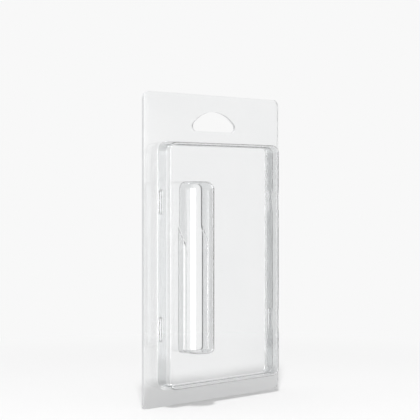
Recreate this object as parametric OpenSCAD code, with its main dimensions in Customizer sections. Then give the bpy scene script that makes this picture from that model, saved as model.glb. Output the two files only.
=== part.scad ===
// Clear thermoformed blister pack with a hang hole: a front shell and a snap-in back shell.
// Millimetres. Front toward -Y, back toward +Y, up is +Z.
// The origin is where a peg carries the pack: the crown of the hang hole, on the back face.

/* [Pack] */
// Width of the flange
pack_width = 70; // [64:1:90]
// Height of the flange
pack_height = 114; // [110:1:140]
// Corner radius of the flange
corner_radius = 2.6; // [1:0.2:5]
// Thickness of each clear sheet
sheet = 0.4; // [0.3:0.05:0.5]
// Air gap between the two flanges
flange_gap = 0.1; // [0.05:0.05:0.2]

/* [Hang hole] */
// Width of the hang hole
hole_width = 22; // [18:1:30]
// Height of the hang hole, from its flat lower edge to the crown of its arch
hole_height = 7.4; // [6.5:0.1:8.5]
// Radius of the hole's two ends
end_radius = 1.8; // [1.2:0.1:2.2]
// Distance from the crown of the hole up to the top edge
crown_below_top = 6.2; // [5:0.1:8]

/* [Tray] */
// Flange left outside the tray at the sides and at the bottom
tray_margin = 6.4; // [5:0.1:8]
// Flange left above the tray
tray_top_margin = 17.9; // [16.5:0.1:22]
// Height of the tray's face above the flange
tray_depth = 7.2; // [6.5:0.1:9]
// Corner radius of the tray where it meets the flange
tray_corner = 3.5; // [3:0.1:6]
// Draft of the tray's walls in degrees
tray_draft = 3; // [1:0.5:4]
// Radius of the edge around the tray's face
edge_radius = 0.9; // [0.8:0.1:1.4]
// Radius of the inside corner where the tray rises from the flange
root_radius = 0.5; // [0.3:0.1:0.8]

/* [Pocket] */
// Width of the pocket's round-topped body
body_width = 11.4; // [10:0.2:12]
// Length of the pocket where it meets the tray
pocket_length = 61.6; // [50:0.2:68]
// Height of the pocket above the tray's face
pocket_height = 9.7; // [9.4:0.1:12]
// Distance from the pocket's centre line to the left edge of the flange
pocket_from_left = 16.4; // [16:0.1:40]
// Distance from the pocket's lower end to the bottom edge of the flange
pocket_from_bottom = 20; // [16:0.5:24]
// Radius around the pocket's upper end
pocket_top_radius = 3; // [1.5:0.1:4]
// Radius around the pocket's lower end
pocket_bottom_radius = 1.6; // [1.2:0.1:3]
// Width across the shoulders along the pocket's sides
shoulder_width = 12.4; // [12:0.1:14]
// Height of the shoulders above the tray's face
shoulder_height = 3.3; // [2.8:0.1:3.6]
// Radius of the shoulders' edges
shoulder_radius = 0.8; // [0.6:0.1:1.2]
// Length of the shoulders at their full height
shoulder_length = 38.5; // [30:0.5:42]
// Length over which a shoulder sweeps down to the tray
shoulder_sweep = 8; // [6:0.5:10]

/* [Plug and snaps] */
// Height of the back shell's plug above its flange
plug_depth = 4.9; // [4.5:0.1:5.4]
// Gap between the plug and the tray's walls
plug_gap = 0.4; // [0.3:0.05:0.5]
// Length of each snap
snap_length = 9; // [6:0.5:12]
// Half the distance between the upper and lower snaps
snap_offset = 22.9; // [14:0.1:26]
// Height of the snaps above the front of the flange
snap_height = 1.6; // [1.5:0.05:2]
// Radius of a snap dimple's section
dimple_radius = 1.1; // [0.9:0.1:1.2]
// How far a snap dimple stands out of the tray's wall
dimple_proud = 0.4; // [0.3:0.05:0.45]
// Radius of a snap bump's section
bump_radius = 0.9; // [0.8:0.1:1]
// How far a snap bump stands out of the plug's wall
bump_proud = 0.25; // [0.1:0.05:0.25]

/* [Hidden] */
$fn = 48;

top_z = crown_below_top;
bottom_z = crown_below_top - pack_height;
flange_mid = (top_z + bottom_z) / 2;
tray_top = top_z - tray_top_margin;
tray_bottom = bottom_z + tray_margin;
tray_mid = (tray_top + tray_bottom) / 2;
tray_half_w = pack_width / 2 - tray_margin;
tray_half_h = (tray_top - tray_bottom) / 2;
front_y = sheet + flange_gap;
plug_inset = micron(sheet / cos(tray_draft) + plug_gap - front_y * tan(tray_draft));
pocket_x = pocket_from_left - pack_width / 2;
pocket_low = bottom_z + pocket_from_bottom;
pocket_high = pocket_low + pocket_length;
shoulder_end = pocket_low + shoulder_length;
clear = [0.93, 0.96, 0.98, 0.45];
// How far the bent edges run on into the flat stretches of the same sheet
lap = 0.3;

// A length rounded to a whole micron, so that stretches of one sheet meet point on point
function micron(v) = round(v * 1000) / 1000;

// Points of an arc about c from angle a0 to angle a1
function arc(c, r, a0, a1, n) = [
    for (i = [0:n])
        let (a = a0 + (a1 - a0) * i / n)
        c + r * [cos(a), sin(a)]
];

// Inset of a drafted wall's front surface at height h, for a flange of one sheet
function inset_at(h) = (h - sheet) * tan(tray_draft);

// Where the root's curve starts on the flange, measured inward from the wall's foot
function root_start() = inset_at(sheet + root_radius) - root_radius / cos(tray_draft);

// Where the edge's curve ends on the face, measured inward from the wall's foot
function edge_end(depth) = inset_at(sheet + depth - edge_radius) + edge_radius / cos(tray_draft);

// Section of one sheet from flange to face: x runs inward from the wall's foot, y is the height
function wall_section(depth) =
    let (
        root = [root_start(), sheet + root_radius],
        edge = [edge_end(depth), sheet + depth - edge_radius],
        outer_root = arc(root, root_radius, -90, -tray_draft, 6),
        outer_edge = arc(edge, edge_radius, 180 - tray_draft, 90, 6),
        inner_edge = arc(edge, edge_radius - sheet, 90, 180 - tray_draft, 6),
        inner_root = arc(root, root_radius + sheet, -tray_draft, -90, 6),
        flange_lap = [[root[0] - lap, 0], [root[0] - lap, sheet]],
        face_lap = [[edge[0] + lap, sheet + depth], [edge[0] + lap, depth]]
    )
    [for (p = concat(flange_lap, outer_root, outer_edge, face_lap, inner_edge, inner_root))
        [micron(p[0]), micron(p[1])]];

module rounded_plate(half_w, half_h, r) {
    square([2 * half_w, 2 * (half_h - r)], center = true);
    square([2 * (half_w - r), 2 * half_h], center = true);
    for (x = [-1, 1])
        for (y = [-1, 1])
            translate([x * (half_w - r), y * (half_h - r)])
                circle(r);
}

// A slot with round ends under a low arch, with the arch's crown at the origin
module hang_hole() {
    end_x = hole_width / 2 - end_radius;
    drop = hole_height - end_radius;
    arch_radius = (end_x * end_x + drop * drop - end_radius * end_radius) / (2 * (drop - end_radius));
    turn = atan2(end_x, arch_radius - drop);
    touch = [arch_radius * sin(turn), arch_radius * cos(turn) - arch_radius];
    for (x = [-1, 1])
        translate([x * end_x, -drop])
            circle(end_radius);
    intersection() {
        translate([0, -arch_radius])
            circle(arch_radius);
        polygon([
            [-end_x, -hole_height],
            [end_x, -hole_height],
            [end_x, -drop],
            touch,
            [touch[0], end_radius],
            [-touch[0], end_radius],
            [-touch[0], touch[1]],
            [-end_x, -drop]
        ]);
    }
}

// Walls of a drafted tray: four straight runs and four corners of one sheet
module tray_walls(half_w, half_h, r, depth) {
    section = wall_section(depth);
    turned = [for (p = section) [r - p[0], p[1]]];
    for (i = [0:3]) {
        across = (i % 2 == 0) ? half_w : half_h;
        along = (i % 2 == 0) ? half_h : half_w;
        rotate([0, 0, 90 * i])
            translate([-across, along - r, 0])
                rotate([90, 0, 0])
                    linear_extrude(2 * (along - r))
                        polygon(section);
        rotate([0, 0, 90 * i])
            translate([across - r, along - r, 0])
                rotate_extrude(angle = 90)
                    polygon(turned);
    }
}

// A flange, a tray rising from it and the tray's face, all of one sheet
module shell(half_w, half_h, r, depth) {
    s0 = root_start() - lap / 2;
    s1 = edge_end(depth) + lap / 2;
    linear_extrude(sheet)
        difference() {
            translate([0, flange_mid])
                rounded_plate(pack_width / 2, pack_height / 2, corner_radius);
            hang_hole();
            translate([0, tray_mid])
                rounded_plate(half_w - s0, half_h - s0, r - s0);
        }
    translate([0, tray_mid, 0]) {
        tray_walls(half_w, half_h, r, depth);
        translate([0, 0, depth])
            linear_extrude(sheet)
                rounded_plate(half_w - s1, half_h - s1, r - s1);
    }
}

// A rod with round ends along a side wall
module rod(x, h, r) {
    translate([x, -snap_length / 2 + r, h])
        sphere(r);
    translate([x, snap_length / 2 - r, h])
        sphere(r);
    translate([x, snap_length / 2 - r, h])
        rotate([90, 0, 0])
            cylinder(h = snap_length - 2 * r, r = r);
}

// Everything to the left of the inner surface of a left wall
module outside_wall(half_w, depth) {
    low = inset_at(sheet) + sheet / cos(tray_draft);
    high = inset_at(depth) + sheet / cos(tray_draft);
    translate([-half_w, snap_length, 0])
        rotate([90, 0, 0])
            linear_extrude(2 * snap_length)
                polygon([[-4, sheet], [low, sheet], [high, depth], [-4, depth]]);
}

// Adds the four snaps to a shell: hollow rounded ribs standing out of the side walls
module with_snaps(half_w, depth, h, radius, proud) {
    x = -half_w + inset_at(h) + radius - proud;
    difference() {
        union() {
            children();
            for (m = [0, 1])
                for (y = [-1, 1])
                    mirror([m, 0, 0])
                        translate([0, tray_mid + y * snap_offset, 0])
                            intersection() {
                                rod(x, h, radius);
                                outside_wall(half_w, depth);
                            }
        }
        for (m = [0, 1])
            for (y = [-1, 1])
                mirror([m, 0, 0])
                    translate([0, tray_mid + y * snap_offset, 0])
                        rod(x, h, radius - sheet);
    }
}

// How far the pocket's forms run down into the tray's face: half a sheet, or right through it
function sunk(thin) = sheet / 2 + thin * 2 * sheet;

// Outline of the pocket seen from the front, for half a width, drawn in by one sheet where thin is 1
module pocket_outline(half_width, thin) {
    half = half_width - thin * sheet;
    low = pocket_low + thin * sheet;
    high = pocket_high - thin * sheet;
    r_low = pocket_bottom_radius - thin * sheet;
    r_high = pocket_top_radius - thin * sheet;
    translate([-half, low + r_low])
        square([2 * half, high - r_high - low - r_low]);
    translate([r_low - half, low])
        square([2 * (half - r_low), high - r_high - low]);
    translate([r_high - half, low + r_low])
        square([2 * (half - r_high), high - low - r_low]);
    for (x = [-1, 1]) {
        translate([x * (half - r_low), low + r_low])
            circle(r_low);
        translate([x * (half - r_high), high - r_high])
            circle(r_high);
    }
}

// Body of the pocket: upright walls under half a cylinder with rounded ends
module pocket_body(thin) {
    half = body_width / 2;
    axis_height = pocket_height - half;
    translate([0, 0, -sunk(thin)])
        linear_extrude(axis_height + sunk(thin))
            pocket_outline(half, thin);
    translate([0, 0, axis_height])
        rotate([-90, 0, 0])
            rotate([0, 0, 180])
                rotate_extrude(angle = 180)
                    intersection() {
                        pocket_outline(half, thin);
                        translate([0, pocket_low])
                            square([half, pocket_length]);
                    }
}

// Section across the shoulders: upright walls with rounded edges
module shoulder_section(thin) {
    half = shoulder_width / 2 - thin * sheet;
    peak = shoulder_height - thin * sheet;
    r = shoulder_radius - thin * sheet;
    translate([-half, -sunk(thin)])
        square([2 * half, peak - r + sunk(thin)]);
    translate([r - half, -sunk(thin)])
        square([2 * (half - r), peak + sunk(thin)]);
    for (x = [-1, 1])
        translate([x * (half - r), peak - r])
            circle(r);
}

// Outline of the shoulders seen from the side, sweeping down to the tray at their upper end
function shoulder_points(thin) =
    let (
        low = pocket_low + thin * sheet,
        peak = shoulder_height - thin * sheet,
        r = shoulder_radius - thin * sheet,
        steps = 16
    )
    concat(
        [[low, -sunk(thin)]],
        arc([low + r, peak - r], r, 180, 90, 6),
        [for (i = [0:steps])
            [shoulder_end + shoulder_sweep * i / steps - thin * sheet,
             (shoulder_height + sheet / 4) * (1 + cos(180 * i / steps)) / 2 - sheet / 4 - thin * sheet]],
        [[shoulder_end + shoulder_sweep - thin * sheet, -sunk(thin)]]
    );

module shoulders(thin) {
    intersection() {
        translate([0, pocket_high, 0])
            rotate([90, 0, 0])
                linear_extrude(pocket_length)
                    shoulder_section(thin);
        translate([-shoulder_width, 0, 0])
            rotate([90, 0, 90])
                linear_extrude(2 * shoulder_width)
                    polygon(shoulder_points(thin));
        translate([0, 0, -sunk(thin)])
            linear_extrude(shoulder_height + sunk(thin))
                pocket_outline(shoulder_width / 2, thin);
    }
}

// The whole pocket as a solid, drawn in by one sheet where thin is 1
module pocket_solid(thin) {
    translate([pocket_x, 0, sheet + tray_depth]) {
        pocket_body(thin);
        shoulders(thin);
    }
}

module front_blister() {
    color(clear)
        translate([0, -front_y, 0])
            rotate([90, 0, 0])
                difference() {
                    union() {
                        with_snaps(tray_half_w, tray_depth, sheet + snap_height, dimple_radius, dimple_proud)
                            shell(tray_half_w, tray_half_h, tray_corner, tray_depth);
                        pocket_solid(0);
                    }
                    pocket_solid(1);
                }
}

module back_blister() {
    half_w = tray_half_w - plug_inset;
    half_h = tray_half_h - plug_inset;
    color(clear)
        rotate([90, 0, 0])
            with_snaps(half_w, plug_depth, front_y + sheet + snap_height, bump_radius, bump_proud)
                shell(half_w, half_h, tray_corner - plug_inset, plug_depth);
}

front_blister();
back_blister();
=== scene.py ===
"""Looks of a clear blister pack: two thermoformed shells of thin clear sheet, on a white studio floor."""

import math

import bpy
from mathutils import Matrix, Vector


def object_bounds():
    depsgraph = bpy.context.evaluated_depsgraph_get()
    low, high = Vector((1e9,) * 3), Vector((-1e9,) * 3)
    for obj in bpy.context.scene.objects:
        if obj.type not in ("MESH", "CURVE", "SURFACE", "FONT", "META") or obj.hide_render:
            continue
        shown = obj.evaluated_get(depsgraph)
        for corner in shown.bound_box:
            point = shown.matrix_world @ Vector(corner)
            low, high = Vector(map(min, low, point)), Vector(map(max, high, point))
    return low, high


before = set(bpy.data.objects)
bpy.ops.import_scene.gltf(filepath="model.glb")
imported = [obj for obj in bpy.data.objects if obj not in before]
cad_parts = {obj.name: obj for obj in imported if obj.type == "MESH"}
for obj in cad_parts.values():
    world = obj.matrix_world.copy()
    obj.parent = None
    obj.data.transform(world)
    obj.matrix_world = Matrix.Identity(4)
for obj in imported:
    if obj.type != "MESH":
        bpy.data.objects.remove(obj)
CAD_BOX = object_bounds()

MM = 0.001
IMAGE_PX = 420
SENSOR_MM = 36

# Camera: a level view from the pack's front left, fitted to the photograph
TURN_DEG = 43.7
FOCAL_PX = 1252
HORIZON_PX = 192
LEFT_EDGE_DISTANCE = 447.6 * MM
LEFT_EDGE_PX = 142
HORIZON_ABOVE_FOOT = 77.76 * MM
CLIP_START = 10 * MM

# White studio, in linear values: the white that is seen all round, and the light on what is lit
WHITE = 0.939
SKY = 0.48

# Floor: up to the shadow's reach it is matte with a share of plain white, and then it turns plain white
FLOOR = 0.9
FLOOR_HALF = 3.0
SHADOW_REACH = 0.10
SHADOW_LIFT = 0.36
WHITE_FROM = 0.22

# Key lamp: its power in watts, its height as seen from the pack, and its size in metres
KEY_POWER = 7.8
KEY_HEIGHT_DEG = 62
KEY_WIDTH = 0.06
KEY_LENGTH = 0.22

# Studio cards: their distance from the pack, and their edges' heights above its middle
CARD_DISTANCE = 1.0
CARD_FOOT = -0.17
CARD_TOP = 0.17
SOFTBOX_TOP = 0.45

# A light path's count of mirrorings is whole, so this tells one or more from none
MIRRORED_ABOVE = 0.5

# Shells: the sheet, the depths of the front one's flange and tray face, and slack for rounding
SHEET = 0.4 * MM
FLANGE_DEPTH = 0.9 * MM
FACE_DEPTH = 8.1 * MM
SLACK = 0.01 * MM

# By the size of its normal's part along Y, a surface is a wall below the first and a face above the second
WALL_BELOW = 0.15
FACE_ABOVE = 0.5

# Clear sheet: its colours, with painted shade for its upright walls, and the colour and clouding of its
# whitish die-cut edges, which also lighten the pocket's root as painted light
SHEET_IOR = 1.52
TINT_LOW = (0.950, 0.954, 0.956)
TINT_HIGH = (0.966, 0.968, 0.969)
# Painted shade: the upright walls are made greyer than the faces, in place of the shade that steep walls
# show
PAINTED_WALL_SHADE = (0.855, 0.861, 0.863)
# Whitish colour and clouding: the real frosting of die-cut edges, and on the pocket's root painted light
# that lifts its dark foot line
FROSTED_CUT_AND_PAINTED_ROOT_LIGHT = (0.93, 0.94, 0.95)
CUT_FROST_AND_ROOT_LIGHT_CLOUDING = 0.75

# Clouding of the sheet: its noise, the stretches of it that drive tint and roughness, and the roughness
CLOUD_SCALE = 38.0
CLOUD_DETAIL = 3.0
TINT_STRETCH = (0.35, 0.65)
ROUGHNESS_STRETCH = (0.3, 0.7)
ROUGHNESS = (0.015, 0.05)

# Ripple that forming leaves: its noise, its height, and its strength on faces and walls
RIPPLE_SCALE = 60.0
RIPPLE_DETAIL = 1.0
RIPPLE_SEED_STEP = 5.0
RIPPLE_HEIGHT = 0.2 * MM
FACE_RIPPLE = 0.15
WALL_RIPPLE = 0.02


def grey(value):
    """A neutral colour of that linear value."""
    return (value, value, value, 1.0)


class Nodes:
    """Short calls that add and link the nodes of one material or world."""

    def __init__(self, owner):
        owner.use_nodes = True
        self.tree = owner.node_tree
        self.tree.nodes.clear()

    def add(self, kind, settings=None, inputs=None):
        """A node with its settings, and with its inputs set to values or linked to sockets."""
        node = self.tree.nodes.new(kind)
        for name, value in (settings or {}).items():
            setattr(node, name, value)
        for name, value in (inputs or {}).items():
            socket = node.inputs[name]
            if isinstance(value, bpy.types.NodeSocket):
                self.tree.links.new(value, socket)
            else:
                socket.default_value = value
        return node

    def calculate(self, operation, *values):
        """The result of a maths node on values or sockets."""
        return self.add("ShaderNodeMath", {"operation": operation}, dict(enumerate(values))).outputs[0]

    def noise(self, place, seed, scale, detail):
        """The value of a noise that the seed tells from others."""
        inputs = {"Vector": place, "W": seed, "Scale": scale, "Detail": detail}
        return self.add("ShaderNodeTexNoise", {"noise_dimensions": "4D"}, inputs).outputs["Fac"]

    def mix(self, share, first, second):
        """A shader node that goes from the first to the second as the share goes from 0 to 1."""
        inputs = {0: share, 1: first.outputs[0], 2: second.outputs[0]}
        return self.add("ShaderNodeMixShader", None, inputs)


def seen_ray(nodes):
    """1 for the rays that show the background: from the camera, in a reflection or through the sheet."""
    path = nodes.add("ShaderNodeLightPath").outputs
    bent = nodes.calculate("MAXIMUM", path["Is Glossy Ray"], path["Is Transmission Ray"])
    return nodes.calculate("MAXIMUM", path["Is Camera Ray"], bent)


def mirrored_ray(nodes):
    """1 for the rays that a surface has mirrored, also where they have passed through the sheet since."""
    path = nodes.add("ShaderNodeLightPath").outputs
    return nodes.calculate("GREATER_THAN", path["Glossy Depth"], MIRRORED_ABOVE)


def wall_and_edge(nodes, place, flange_depth):
    """Masks from 0 to 1 of the upright walls, and of the die-cut edges and the pocket's root among them."""
    normal = nodes.add("ShaderNodeNewGeometry").outputs["True Normal"]
    facing = nodes.add("ShaderNodeSeparateXYZ", None, {0: normal}).outputs["Y"]
    wall = nodes.add("ShaderNodeMapRange", None,
                     {"Value": nodes.calculate("ABSOLUTE", facing),
                      "From Min": WALL_BELOW, "From Max": FACE_ABOVE,
                      "To Min": 1.0, "To Max": 0.0}).outputs["Result"]
    depth = nodes.add("ShaderNodeSeparateXYZ", None, {0: place}).outputs["Y"]
    flange = nodes.calculate("GREATER_THAN", depth, -flange_depth - SLACK)
    # The pocket's root joins this mask as painted light, to lighten its dark foot line
    root = nodes.calculate("COMPARE", depth, SHEET / 2 - FACE_DEPTH, SHEET / 2 + SLACK)
    cut_frost_and_root_light = nodes.calculate("MULTIPLY", wall, nodes.calculate("MAXIMUM", flange, root))
    return wall, cut_frost_and_root_light


def clear_sheet(name, seed, flange_depth):
    """Clear plastic sheet: slight clouding, a forming ripple, painted shade on the upright walls, whitish
    die-cut edges, and painted light at the pocket's root.
    """
    material = bpy.data.materials.new(name)
    nodes = Nodes(material)
    place = nodes.add("ShaderNodeTexCoord").outputs["Object"]
    wall, cut_frost_and_root_light = wall_and_edge(nodes, place, flange_depth)
    cloud = nodes.noise(place, seed, CLOUD_SCALE, CLOUD_DETAIL)
    tint = nodes.add("ShaderNodeValToRGB", None, {"Fac": cloud})
    for stop, position, colour in zip(tint.color_ramp.elements, TINT_STRETCH, (TINT_LOW, TINT_HIGH)):
        stop.position = position
        stop.color = (*colour, 1)
    # Painted shade: the tint is multiplied darker wherever the wall mask is
    wall_shaded = nodes.add("ShaderNodeMixRGB", {"blend_type": "MULTIPLY"},
                      {"Fac": wall, "Color1": tint.outputs["Color"], "Color2": (*PAINTED_WALL_SHADE, 1)})
    # Whitish die-cut edges, and painted light at the pocket's root
    base = nodes.add("ShaderNodeMixRGB", None,
                     {"Fac": cut_frost_and_root_light, "Color1": wall_shaded.outputs["Color"], "Color2": (*FROSTED_CUT_AND_PAINTED_ROOT_LIGHT, 1)})
    rough = nodes.add("ShaderNodeMapRange", None,
                      {"Value": cloud,
                       "From Min": ROUGHNESS_STRETCH[0], "From Max": ROUGHNESS_STRETCH[1],
                       "To Min": ROUGHNESS[0], "To Max": ROUGHNESS[1]})
    # Less clear on die-cut edges, and at the pocket's root as part of its painted light
    clear = nodes.add("ShaderNodeMapRange", None,
                      {"Value": cut_frost_and_root_light, "To Min": 1.0, "To Max": 1.0 - CUT_FROST_AND_ROOT_LIGHT_CLOUDING})
    ripple = nodes.noise(place, seed + RIPPLE_SEED_STEP, RIPPLE_SCALE, RIPPLE_DETAIL)
    strength = nodes.add("ShaderNodeMapRange", None,
                         {"Value": wall, "To Min": FACE_RIPPLE, "To Max": WALL_RIPPLE})
    bump = nodes.add("ShaderNodeBump", None,
                     {"Height": ripple, "Strength": strength.outputs["Result"], "Distance": RIPPLE_HEIGHT})
    skin = nodes.add("ShaderNodeBsdfPrincipled", None,
                     {"Base Color": base.outputs["Color"], "Roughness": rough.outputs["Result"],
                      "Normal": bump.outputs["Normal"], "IOR": SHEET_IOR,
                      "Transmission Weight": clear.outputs["Result"]})
    nodes.add("ShaderNodeOutputMaterial", None, {"Surface": skin.outputs["BSDF"]})
    return material


def dress(node, material):
    """Puts a material on a shell of the frame."""
    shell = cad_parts[node]
    for slot in shell.material_slots:
        slot.material = material


def make_camera():
    """A level camera whose lens shift puts the horizon where the photograph has it."""
    turn = math.radians(TURN_DEG)
    forward = Vector((math.sin(turn), math.cos(turn), 0))
    right = Vector((forward.y, -forward.x, 0))
    foot = CAD_BOX[0]
    left_edge = Vector((foot[0], 0, foot[2] + HORIZON_ABOVE_FOOT))
    aside = (LEFT_EDGE_PX - IMAGE_PX / 2) * LEFT_EDGE_DISTANCE / FOCAL_PX
    camera_data = bpy.data.cameras.new("camera")
    camera_data.sensor_width = SENSOR_MM
    camera_data.lens = FOCAL_PX * SENSOR_MM / IMAGE_PX
    camera_data.shift_y = (HORIZON_PX - IMAGE_PX / 2) / IMAGE_PX
    camera_data.clip_start = CLIP_START
    camera = bpy.data.objects.new("camera", camera_data)
    camera.location = left_edge - forward * LEFT_EDGE_DISTANCE - right * aside
    camera.rotation_euler = (math.pi / 2, 0, -turn)
    bpy.context.scene.collection.objects.link(camera)
    bpy.context.scene.camera = camera


def make_world():
    """White all round for what is seen, and an even light for what is lit."""
    world = bpy.data.worlds.new("studio")
    bpy.context.scene.world = world
    nodes = Nodes(world)
    light = nodes.add("ShaderNodeBackground", None, {"Color": grey(SKY), "Strength": 1.0})
    white = nodes.add("ShaderNodeBackground", None, {"Color": grey(WHITE), "Strength": 1.0})
    both = nodes.mix(seen_ray(nodes), light, white)
    nodes.add("ShaderNodeOutputWorld", None, {"Surface": both.outputs[0]})


def make_floor():
    """A pale floor at the pack's foot: it keeps the shadow near the pack and is plain white further off."""
    half = FLOOR_HALF
    foot = CAD_BOX[0][2]
    mesh = bpy.data.meshes.new("floor")
    corners = [(-half, -half, foot), (half, -half, foot), (half, half, foot), (-half, half, foot)]
    mesh.from_pydata(corners, [], [(0, 1, 2, 3)])
    floor = bpy.data.objects.new("floor", mesh)
    bpy.context.scene.collection.objects.link(floor)
    material = bpy.data.materials.new("floor_white")
    nodes = Nodes(material)
    place = nodes.add("ShaderNodeNewGeometry").outputs["Position"]
    away = nodes.add("ShaderNodeVectorMath", {"operation": "DISTANCE"}, {0: place, 1: (0, 0, foot)})
    far = nodes.add("ShaderNodeMapRange", {"interpolation_type": "SMOOTHSTEP"},
                    {"Value": away.outputs["Value"], "From Min": SHADOW_REACH, "From Max": WHITE_FROM,
                     "To Min": SHADOW_LIFT, "To Max": 1.0})
    plain = nodes.calculate("MULTIPLY", far.outputs["Result"], seen_ray(nodes))
    matte = nodes.add("ShaderNodeBsdfDiffuse", None, {"Color": grey(FLOOR)})
    white = nodes.add("ShaderNodeEmission", None, {"Color": grey(WHITE), "Strength": 1.0})
    gone = nodes.add("ShaderNodeBsdfTransparent")
    seen = nodes.mix(mirrored_ray(nodes), nodes.mix(plain, matte, white), gone)
    nodes.add("ShaderNodeOutputMaterial", None, {"Surface": seen.outputs[0]})
    mesh.materials.append(material)


def make_key(aim):
    """A key lamp straight above the camera, which throws the pack's soft shadow on the floor behind it."""
    below = bpy.context.scene.camera.location.copy()
    reach = (Vector((aim.x, aim.y, below.z)) - below).length
    lamp = bpy.data.lights.new("key", "AREA")
    lamp.shape = "ELLIPSE"
    lamp.size = KEY_WIDTH
    lamp.size_y = KEY_LENGTH
    lamp.energy = KEY_POWER
    key = bpy.data.objects.new("key", lamp)
    key.location = below + Vector((0, 0, reach * math.tan(math.radians(KEY_HEIGHT_DEG))))
    key.rotation_euler = (aim - key.location).to_track_quat("-Z", "Y").to_euler()
    key.visible_camera = False
    key.visible_glossy = False
    key.visible_transmission = False
    bpy.context.scene.collection.objects.link(key)


def make_card(name, aim, bearing, width, radiance, top=CARD_TOP):
    """An upright studio card that shows only in reflections. Its bearing is in degrees from +Y toward +X."""
    turn = math.radians(bearing)
    half = width / 2
    mesh = bpy.data.meshes.new(name)
    corners = [(-half, 0, CARD_FOOT), (half, 0, CARD_FOOT), (half, 0, top), (-half, 0, top)]
    mesh.from_pydata(corners, [], [(0, 1, 2, 3)])
    material = bpy.data.materials.new(name)
    material.cycles.emission_sampling = "NONE"
    nodes = Nodes(material)
    gone = nodes.add("ShaderNodeBsdfTransparent")
    glow = nodes.add("ShaderNodeEmission", None, {"Color": grey(1.0), "Strength": radiance})
    seen = nodes.mix(mirrored_ray(nodes), gone, glow)
    nodes.add("ShaderNodeOutputMaterial", None, {"Surface": seen.outputs[0]})
    mesh.materials.append(material)
    card = bpy.data.objects.new(name, mesh)
    card.location = aim + Vector((math.sin(turn), math.cos(turn), 0)) * CARD_DISTANCE
    card.rotation_euler = (0, 0, -turn)
    card.visible_camera = False
    card.visible_diffuse = False
    card.visible_shadow = False
    bpy.context.scene.collection.objects.link(card)


make_camera()
make_world()
make_floor()
middle = (Vector(CAD_BOX[0]) + Vector(CAD_BOX[1])) / 2
make_key(middle)
make_card("softbox", middle, bearing=266.0, width=0.80, radiance=5.0, top=SOFTBOX_TOP)
make_card("fill_card", middle, bearing=303.0, width=0.42, radiance=2.3)
make_card("dark_card", middle, bearing=335.0, width=0.70, radiance=0.02)
make_card("rim_card", middle, bearing=24.0, width=0.52, radiance=4.4)
make_card("side_card", middle, bearing=82.0, width=1.20, radiance=0.40)
make_card("strip_card", middle, bearing=142.6, width=0.07, radiance=2.4)
dress("front_blister", clear_sheet("clear_front", seed=1.0, flange_depth=FLANGE_DEPTH))
dress("back_blister", clear_sheet("clear_back", seed=4.0, flange_depth=SHEET))

bpy.context.scene.view_settings.view_transform = "Standard"
